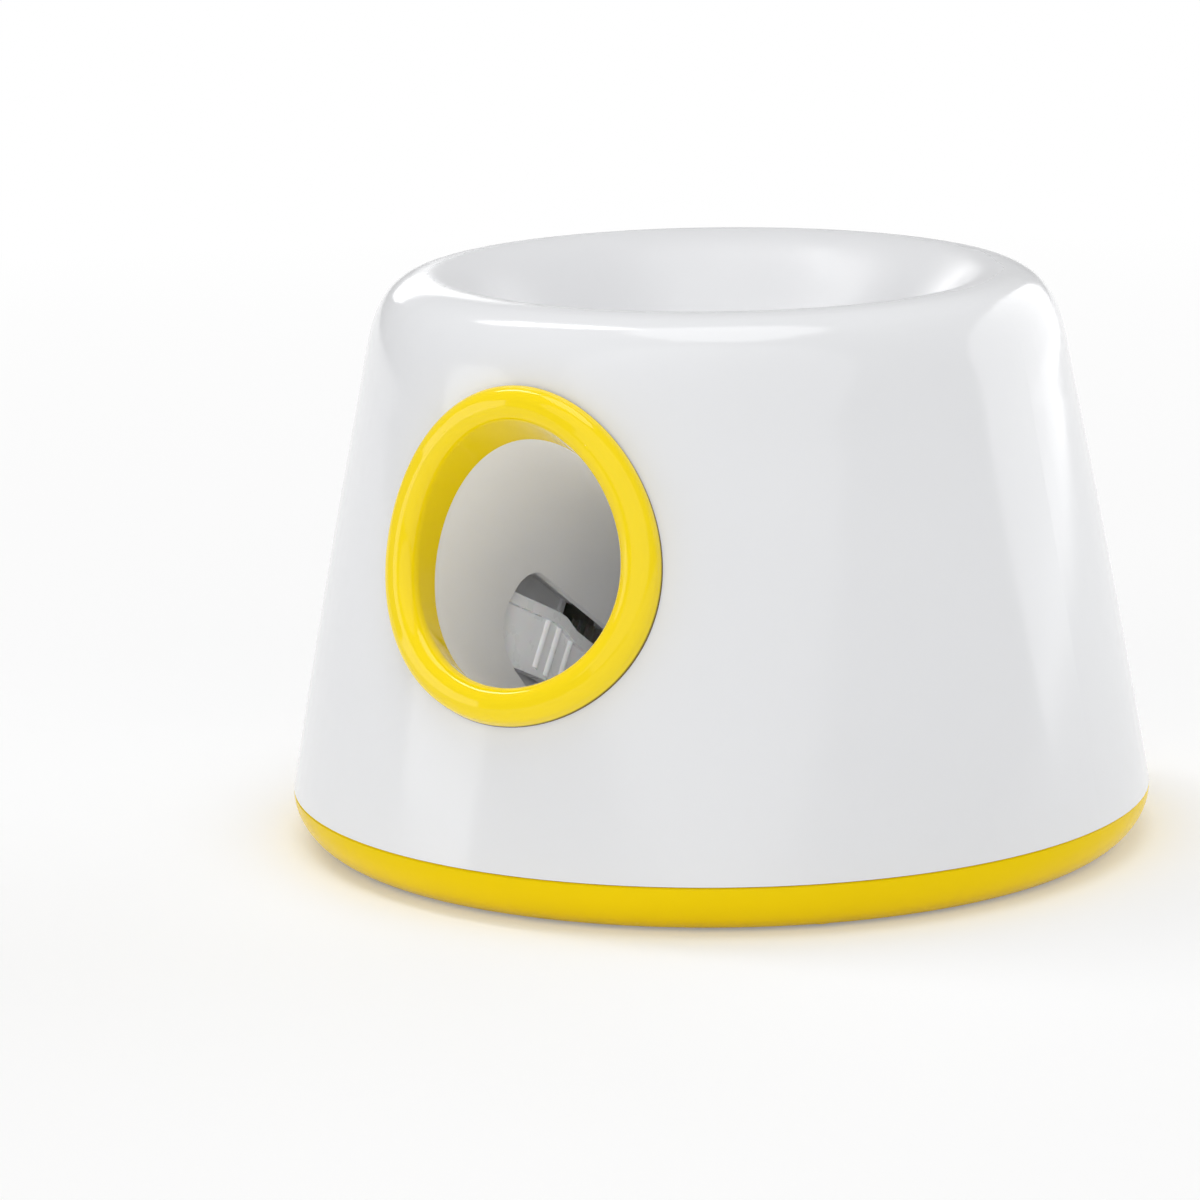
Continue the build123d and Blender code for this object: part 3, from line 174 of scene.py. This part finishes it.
shellLook = {
    "colour": (0.835, 0.842, 0.858),
    "drift": (0.818, 0.825, 0.842),
    "driftSize": 0.09,
    "gloss": (0.10, 0.15),
    "peelSize": 0.0045,
    "peelDepth": 0.000012,
    "fineSize": 0.0006,
    "fineDepth": 0.0000012,
    "dishRadius": 0.093,  # the balls dull the dish's gloss inside this, and its colour is painted darker there as shade
    "dishFade": 0.009,
    "dishFloor": (0.130, 0.140),  # and above this height, not the walls below
    "dishRub": 0.26,  # added to the roughness there
    # painted shade: the darker grey given to the dish's inside
    "dishShadeColour": (0.755, 0.76, 0.775),
    "rubSize": 0.012,
    "rubSpread": (0.7, 1.0),
}
ringLook = {
    "colour": (1.0, 0.75, 0.001),
    "drift": (0.985, 0.73, 0.001),
    "driftSize": 0.05,
    "gloss": (0.035, 0.07),
    "peelSize": 0.004,
    "peelDepth": 0.000008,
    "fineSize": 0.0005,
    "fineDepth": 0.000001,
    "plain": {"Specular_IOR_Level": 0.40},
    "shade": (0.14, 0.09, 0.004),  # colour of the line of painted shade where the lip meets the cone
    "footLine": (0.00048, 0.0012),  # height over the cone at which that line fades
    "lipFrom": (0.0383, 0.0403),  # distance from the barrel's axis at which the lip starts
    "mouth": (0.0, -0.1158, 0.106),
    "barrelTilt": 33.0,
    "caseRadius": 0.1325,  # the cone: its radius at the seam, then how it narrows with height
    "seamHeight": 0.0154,
    "coneSlope": 0.1731,
    "coneBow": 0.12,
}
baseLook = {
    "colour": (0.93, 0.67, 0.002),
    "drift": (0.90, 0.64, 0.002),
    "driftSize": 0.06,
    "gloss": (0.16, 0.26),
    "peelSize": 0.0035,
    "peelDepth": 0.000012,
    "fineSize": 0.0005,
    "fineDepth": 0.000002,
    "wear": {"axis": "Z", "from": 0.0012, "to": 0.0035, "size": 0.003, "stretch": (3.0, 3.0, 0.6),
             "spread": (0.52, 0.72), "rough": 0.25, "colour": (0.80, 0.58, 0.03)},
    "plain": {"Specular_IOR_Level": 0.05},
}


# Balls that roll round the dish leave its gloss a little duller than the outside; the dish's colour
# is also painted a darker grey, painted shade on this upward-facing surface
def rubAndShadeDish(material, look):
    tree = material.node_tree
    shader = tree.nodes["Principled BSDF"]
    where = tree.nodes.new("ShaderNodeTexCoord").outputs["Object"]
    flat = scaled(tree, where, (1.0, 1.0, 0.0))
    height = axisPart(tree, where, "Z")
    inside = calculate(
        tree,
        "MULTIPLY",
        between(tree, flat, 1.0, 0.0, look["dishRadius"] - look["dishFade"], look["dishRadius"]),
        between(tree, height, 0.0, 1.0, *look["dishFloor"]),
    )
    rubs = between(tree, grain(tree, where, look["rubSize"], detail=5.0), *look["rubSpread"])
    rub = calculate(tree, "MULTIPLY", calculate(tree, "MULTIPLY", inside, rubs), look["dishRub"])
    gloss = shader.inputs["Roughness"].links[0].from_socket
    tree.links.new(calculate(tree, "ADD", gloss, rub), shader.inputs["Roughness"])
    # Painted shade: the dish inside gets a darker grey than the rest of the shell
    colour = shader.inputs["Base Color"].links[0].from_socket
    colour = mixColours(tree, inside, colour, look["dishShadeColour"])
    tree.links.new(colour, shader.inputs["Base Color"])
    return material


# Painted shade: the lip's foot, where it meets the cone, gets a thin dark line of shadow painted
# into its colour
def shadeFoot(material, look):
    tree = material.node_tree
    shader = tree.nodes["Principled BSDF"]
    where = tree.nodes.new("ShaderNodeTexCoord").outputs["Object"]
    out = scaled(tree, where, (1.0, 1.0, 0.0))
    up = calculate(tree, "SUBTRACT", axisPart(tree, where, "Z"), look["seamHeight"])
    bow = calculate(tree, "MULTIPLY", calculate(tree, "MULTIPLY", up, up), look["coneBow"])
    fall = calculate(tree, "ADD", calculate(tree, "MULTIPLY", up, look["coneSlope"]), bow)
    proud = calculate(tree, "SUBTRACT", calculate(tree, "ADD", out, fall), look["caseRadius"])
    low = between(tree, proud, 1.0, 0.0, *look["footLine"])
    # Only the outside of the lip, away from the bore
    turned = tree.nodes.new("ShaderNodeMapping")
    spin = Matrix.Rotation(math.radians(look["barrelTilt"]), 4, "X")
    turned.inputs["Rotation"].default_value = spin.to_euler()
    turned.inputs["Location"].default_value = -(spin @ Vector(look["mouth"]))
    tree.links.new(where, turned.inputs["Vector"])
    across = scaled(tree, turned.outputs["Vector"], (1.0, 0.0, 1.0))
    outside = between(tree, across, 0.0, 1.0, *look["lipFrom"])
    # Painted shade: this share pulls the lip's colour toward the dark shade colour
    share = calculate(tree, "MULTIPLY", low, outside)
    colour = shader.inputs["Base Color"].links[0].from_socket
    tree.links.new(mixColours(tree, share, colour, look["shade"]), shader.inputs["Base Color"])
    return material


dress(rubAndShadeDish(mouldedPlastic("shellWhiteGloss", shellLook), shellLook), "outer_shell")
dress(shadeFoot(mouldedPlastic("ringYellowGloss", ringLook), ringLook), "launch_ring")
dress(mouldedPlastic("baseYellowSatin", baseLook), "base_tray", "battery_door")

feetLook = {
    "colour": (0.035, 0.035, 0.037),
    "drift": (0.055, 0.054, 0.052),
    "driftSize": 0.004,
    "gloss": (0.72, 0.9),
    "peelSize": 0.0012,
    "peelDepth": 0.00004,
    "fineSize": 0.0003,
    "fineDepth": 0.00001,
    "wear": {"axis": "Z", "from": 0.0, "to": 0.0008, "size": 0.0015, "stretch": (1.0, 1.0, 1.0),
             "spread": (0.52, 0.72), "rough": 0.08, "colour": (0.16, 0.155, 0.145)},
}
dress(mouldedPlastic("footRubber", feetLook), "rubber_feet", "hammer_bumper")
print("case finishes done")


# Ball way: pale liner, chute and hammer

linerLook = {
    "colour": (0.925, 0.93, 0.945),
    "drift": (0.905, 0.91, 0.925),
    "driftSize": 0.035,
    "gloss": (0.30, 0.42),
    "peelSize": 0.0025,
    "peelDepth": 0.00002,
    "fineSize": 0.0004,
    "fineDepth": 0.000004,
}
hammerLook = {
    "colour": (0.95, 0.955, 0.965),
    "drift": (0.93, 0.935, 0.945),
    "driftSize": 0.018,
    "gloss": (0.24, 0.38),
    "peelSize": 0.002,
    "peelDepth": 0.00002,
    "fineSize": 0.0004,
    "fineDepth": 0.000004,
    "plain": {"Subsurface_Weight": 0.15, "Subsurface_Scale": 0.002},
}
dress(mouldedPlastic("linerGreyPlastic", linerLook), "barrel_tube", "drop_chute")
dress(mouldedPlastic("hammerNylon", hammerLook), "hammer")
print("ball way finishes done")


# Gearbox and motor

gearLook = {
    "colour": (0.78, 0.77, 0.72),
    "drift": (0.72, 0.71, 0.655),
    "driftSize": 0.012,
    "gloss": (0.28, 0.42),
    "peelSize": 0.0015,
    "peelDepth": 0.00001,
    "fineSize": 0.0003,
    "fineDepth": 0.000003,
    "plain": {"Subsurface_Weight": 0.2, "Subsurface_Scale": 0.002},
}
frameLook = {
    "colour": (0.030, 0.031, 0.033),
    "drift": (0.052, 0.053, 0.056),
    "driftSize": 0.015,
    "gloss": (0.42, 0.62),
    "peelSize": 0.001,
    "peelDepth": 0.00002,
    "fineSize": 0.0003,
    "fineDepth": 0.000012,
}
steelLook = {
    "colour": (0.62, 0.62, 0.61),
    "tarnish": (0.50, 0.50, 0.50),
    "patchSize": 0.006,
    "lineSize": 0.00025,
    "stretch": (12.0, 1.0, 1.0),
    "gloss": (0.20, 0.36),
    "lineDepth": 0.000006,
}
canLook = {
    "colour": (0.66, 0.655, 0.63),
    "tarnish": (0.56, 0.555, 0.53),
    "patchSize": 0.014,
    "lineSize": 0.0004,
    "stretch": (20.0, 20.0, 1.0),
    "turn": (math.radians(33), 0.0, 0.0),
    "gloss": (0.18, 0.30),
    "lineDepth": 0.000005,
}
springLook = {
    "colour": (0.34, 0.335, 0.33),
    "tarnish": (0.24, 0.235, 0.23),
    "patchSize": 0.003,
    "lineSize": 0.0002,
    "stretch": (1.0, 1.0, 6.0),
    "gloss": (0.24, 0.38),
    "lineDepth": 0.000004,
}
brassLook = {
    "colour": (0.80, 0.58, 0.26),
    "tarnish": (0.66, 0.45, 0.19),
    "patchSize": 0.003,
    "lineSize": 0.0002,
    "stretch": (1.0, 8.0, 1.0),
    "gloss": (0.18, 0.30),
    "lineDepth": 0.000005,
}
dress(mouldedPlastic("gearAcetal", gearLook), "drive_gear", "idler_gear")
dress(
    mouldedPlastic("frameFilledNylon", frameLook),
    "gearbox_frame", "gearbox_cover", "motor_end_cap", "ball_sensor", "beeper", "board_switches",
)
dress(
    drawnMetal("platedSteel", steelLook),
    "hammer_pin", "drive_axle", "idler_axle", "motor_shaft", "usb_port",
    *[name for name in nodes if name.endswith("_screws")],
)
dress(drawnMetal("motorCanNickel", canLook), "motor_can")
dress(drawnMetal("springSteel", springLook), "hammer_spring")
dress(drawnMetal("pinionBrass", brassLook), "motor_pinion")
print("gearbox finishes done")


# Rear controls and electronics

panelLook = {
    "colour": (0.57, 0.575, 0.59),
    "drift": (0.545, 0.55, 0.565),
    "driftSize": 0.02,
    "gloss": (0.36, 0.46),
    "peelSize": 0.0012,
    "peelDepth": 0.00001,
    "fineSize": 0.00035,
    "fineDepth": 0.000008,
}
buttonLook = {
    "colour": (0.20, 0.205, 0.215),
    "drift": (0.17, 0.175, 0.185),
    "driftSize": 0.006,
    "gloss": (0.46, 0.60),
    "peelSize": 0.001,
    "peelDepth": 0.00001,
    "fineSize": 0.0003,
    "fineDepth": 0.00001,
}
lensLook = {
    "colour": (0.80, 0.86, 0.84),
    "drift": (0.72, 0.80, 0.77),
    "driftSize": 0.003,
    "gloss": (0.06, 0.14),
    "peelSize": 0.001,
    "peelDepth": 0.000006,
    "fineSize": 0.0002,
    "fineDepth": 0.000001,
    "ior": 1.49,
    "plain": {"Transmission_Weight": 0.7},
}
dress(mouldedPlastic("panelGrey", panelLook), "control_panel")
dress(mouldedPlastic("buttonSoftGrey", buttonLook), "power_button", "distance_button")
dress(mouldedPlastic("lensAcrylic", lensLook), "indicator_lenses")

boardLook = {
    "mask": (0.012, 0.115, 0.045),
    "trace": (0.02, 0.19, 0.075),
    "gloss": (0.24, 0.34),
    "weaveSize": 0.0008,
    "traceSize": 0.0022,
    "traceLength": 0.0088,
    "traceWidth": 0.000264,
    "traceHeight": 0.00004,
    "lean": -80.0,  # turns the tracks into the board's plane
}


# Solder mask over copper tracks, which show as lighter raised lines
def circuitBoard(name, look):
    material, tree, shader, where = startFinish(name)
    bricks = tree.nodes.new("ShaderNodeTexBrick")
    bricks.inputs["Scale"].default_value = 1.0
    bricks.inputs["Brick Width"].default_value = look["traceLength"]
    bricks.inputs["Row Height"].default_value = look["traceSize"]
    bricks.inputs["Mortar Size"].default_value = look["traceWidth"]
    turned = tree.nodes.new("ShaderNodeMapping")
    turned.inputs["Rotation"].default_value = (math.radians(look["lean"]), 0.0, 0.0)
    tree.links.new(where, turned.inputs["Vector"])
    tree.links.new(turned.outputs["Vector"], bricks.inputs["Vector"])
    tracks = bricks.outputs["Fac"]
    colour = mixColours(tree, tracks, look["mask"], look["trace"])
    tree.links.new(colour, shader.inputs["Base Color"])
    weave = grain(tree, where, look["weaveSize"])
    tree.links.new(between(tree, weave, *look["gloss"]), shader.inputs["Roughness"])
    tree.links.new(relief(tree, tracks, look["traceHeight"]), shader.inputs["Normal"])
    return material


dress(circuitBoard("boardSolderMask", boardLook), "control_board")

cellLook = {
    "wrap": (0.03, 0.12, 0.30),
    "wrapDark": (0.025, 0.095, 0.245),
    "metal": (0.60, 0.60, 0.58),
    "wrapEnd": (0.0324, 0.03245),  # distance from the middle at which the wrap ends
    "wrinkleSize": 0.003,
    "wrinkleStretch": (1.0, 6.0, 1.0),
    "wrinkleDepth": 0.00003,
    "gloss": (0.22, 0.36),
}


# Shrink wrap round the cells; the flat ends are bare metal
def wrappedCell(name, look):
    material, tree, shader, where = startFinish(name)
    along = calculate(tree, "ABSOLUTE", axisPart(tree, where, "Y"), 0.0)
    ends = between(tree, along, 0.0, 1.0, *look["wrapEnd"])
    wrinkles = grain(
        tree, where, look["wrinkleSize"], detail=3.0, stretch=look["wrinkleStretch"]
    )
    wrap = mixColours(tree, between(tree, wrinkles, 0.0, 1.0), look["wrap"], look["wrapDark"])
    tree.links.new(mixColours(tree, ends, wrap, look["metal"]), shader.inputs["Base Color"])
    tree.links.new(ends, shader.inputs["Metallic"])
    tree.links.new(between(tree, wrinkles, *look["gloss"]), shader.inputs["Roughness"])
    tree.links.new(relief(tree, wrinkles, look["wrinkleDepth"]), shader.inputs["Normal"])
    return material


dress(wrappedCell("cellShrinkWrap", cellLook), "battery_cells")
print("electronics finishes done")


# Floor

floorLook = {
    "size": 30.0,
    "squares": 8,
    "colour": (0.955, 0.955, 0.955),
    "drift": (0.945, 0.945, 0.945),
    "driftSize": 0.4,
    "rough": 0.9,
    "white": 1.0,
    "flatNear": 0.25,  # share of the near floor that is seen as even white, the rest has shade
    "near": 0.26,
    "far": 1.3,  # all white from here on
}


def makeFloor(look):
    mesh = bpy.data.meshes.new("paleFloor")
    build = bmesh.new()
    squares = look["squares"]
    bmesh.ops.create_grid(build, x_segments=squares, y_segments=squares, size=look["size"] / 2)
    build.to_mesh(mesh)
    build.free()
    floor = bpy.data.objects.new("paleFloor", mesh)
    bpy.context.scene.collection.objects.link(floor)
    material, tree, shader, where = startFinish("floorPaper")
    tone = between(tree, grain(tree, where, look["driftSize"]), 0.0, 1.0)
    colour = mixColours(tree, tone, look["colour"], look["drift"])
    tree.links.new(colour, shader.inputs["Base Color"])
    setPlain(shader, Roughness=look["rough"])
    # Seen straight, in gloss or through glass, a share of the paper is an even white
    rays = tree.nodes.new("ShaderNodeLightPath")
    seen = rays.outputs["Is Camera Ray"]
    for kind in ("Is Glossy Ray", "Is Transmission Ray"):
        seen = calculate(tree, "MAXIMUM", seen, rays.outputs[kind])
    white = tree.nodes.new("ShaderNodeEmission")
    white.inputs["Color"].default_value = (1.0, 1.0, 1.0, 1.0)
    white.inputs["Strength"].default_value = look["white"]
    blend = tree.nodes.new("ShaderNodeMixShader")
    away = scaled(tree, where, (1.0, 1.0, 0.0))
    flat = between(tree, away, look["flatNear"], 1.0, look["near"], look["far"])
    tree.links.new(calculate(tree, "MULTIPLY", seen, flat), blend.inputs["Fac"])
    tree.links.new(shader.outputs["BSDF"], blend.inputs[1])
    tree.links.new(white.outputs["Emission"], blend.inputs[2])
    tree.links.new(blend.outputs["Shader"], tree.nodes["Material Output"].inputs["Surface"])
    mesh.materials.append(material)


makeFloor(floorLook)
print("floor done")


# Camera

cameraLook = {
    "place": (0.8203, -1.3386, 0.409),
    "turn": 32.84,
    "down": 12.13,
    "roll": -0.88,
    "lens": 156.0,
    "sensor": 36.0,
    "clip": (0.05, 60.0),
}


def makeCamera(look):
    data = bpy.data.cameras.new("studioCamera")
    data.lens = look["lens"]
    data.sensor_width = look["sensor"]
    data.sensor_fit = "HORIZONTAL"
    data.clip_start, data.clip_end = look["clip"]
    camera = bpy.data.objects.new("studioCamera", data)
    # A camera looks along its own -Z: tip it up to the horizon, down again, then round
    tip = Matrix.Rotation(math.radians(90.0 - look["down"]), 4, "X")
    swing = Matrix.Rotation(math.radians(look["turn"]), 4, "Z")
    lean = Matrix.Rotation(math.radians(look["roll"]), 4, "Z")
    camera.matrix_world = Matrix.Translation(look["place"]) @ swing @ tip @ lean
    bpy.context.scene.collection.objects.link(camera)
    bpy.context.scene.camera = camera


makeCamera(cameraLook)
print("camera done")


# Lights: a softbox stands on a bearing from the camera's side, at a height angle, both in
# degrees as seen from the target. Its size is in metres and its power in watts.

lightLook = {
    "target": (0.0, 0.0, 0.09),
    "distance": 2.2,
    "softboxes": {
        "tallWindow": {"bearing": -120, "rise": 60, "size": (0.34, 1.25), "power": 9},
        "overhead": {"bearing": 20, "rise": 84, "size": (1.5, 1.5), "power": 13},
        "front": {"bearing": -2, "rise": 30, "size": (4.4, 2.4), "power": 19},
        # These two look down the ball way and light nothing else
        "wayFill": {"bearing": 2, "rise": 16, "size": (0.9, 0.6), "power": 6,
                    "only": ("barrel_tube", "hammer", "drop_chute")},
        "armFill": {"bearing": 2, "rise": 16, "size": (0.9, 0.6), "power": 14,
                    "only": ("hammer",)},
        "sideRight": {"bearing": 126, "rise": 12, "size": (3.0, 1.8), "power": 20},
        "backLeft": {"bearing": -163, "rise": 16, "size": (0.9, 0.5), "power": 3},
        "cardLeft": {"bearing": -80, "rise": 6, "size": (1.2, 0.9), "power": 4.2},
    },
    "world": 0.40,
    "tone": (1.0, 1.0, 1.0),
}


def makeLights(look):
    target = Vector(look["target"])
    front = math.atan2(cameraLook["place"][1], cameraLook["place"][0])
    for name, box in look["softboxes"].items():
        data = bpy.data.lights.new(name, "AREA")
        data.shape = "ELLIPSE"
        data.size, data.size_y = box["size"]
        data.energy = box["power"]
        data.color = look["tone"]
        light = bpy.data.objects.new(name, data)
        bearing = front + math.radians(box["bearing"])
        rise = math.radians(box["rise"])
        aim = Vector(
            (math.cos(bearing) * math.cos(rise), math.sin(bearing) * math.cos(rise), math.sin(rise))
        )
        light.location = target + aim * look["distance"]
        light.rotation_euler = aim.to_track_quat("Z", "Y").to_euler()
        light.visible_camera = False
        if "only" in box:
            lit = bpy.data.collections.new(name + "Lit")
            for piece in box["only"]:
                lit.objects.link(nodes[piece])
            light.light_linking.receiver_collection = lit
        bpy.context.scene.collection.objects.link(light)


def makeWorld(look):
    world = bpy.data.worlds.new("softStudio")
    world.use_nodes = True
    tree = world.node_tree
    tree.nodes.clear()
    fill = tree.nodes.new("ShaderNodeBackground")
    fill.inputs["Color"].default_value = (*look["tone"], 1.0)
    fill.inputs["Strength"].default_value = look["world"]
    out = tree.nodes.new("ShaderNodeOutputWorld")
    tree.links.new(fill.outputs["Background"], out.inputs["Surface"])
    bpy.context.scene.world = world


makeLights(lightLook)
makeWorld(lightLook)
bpy.context.scene.view_settings.view_transform = "Standard"
print("lights done")
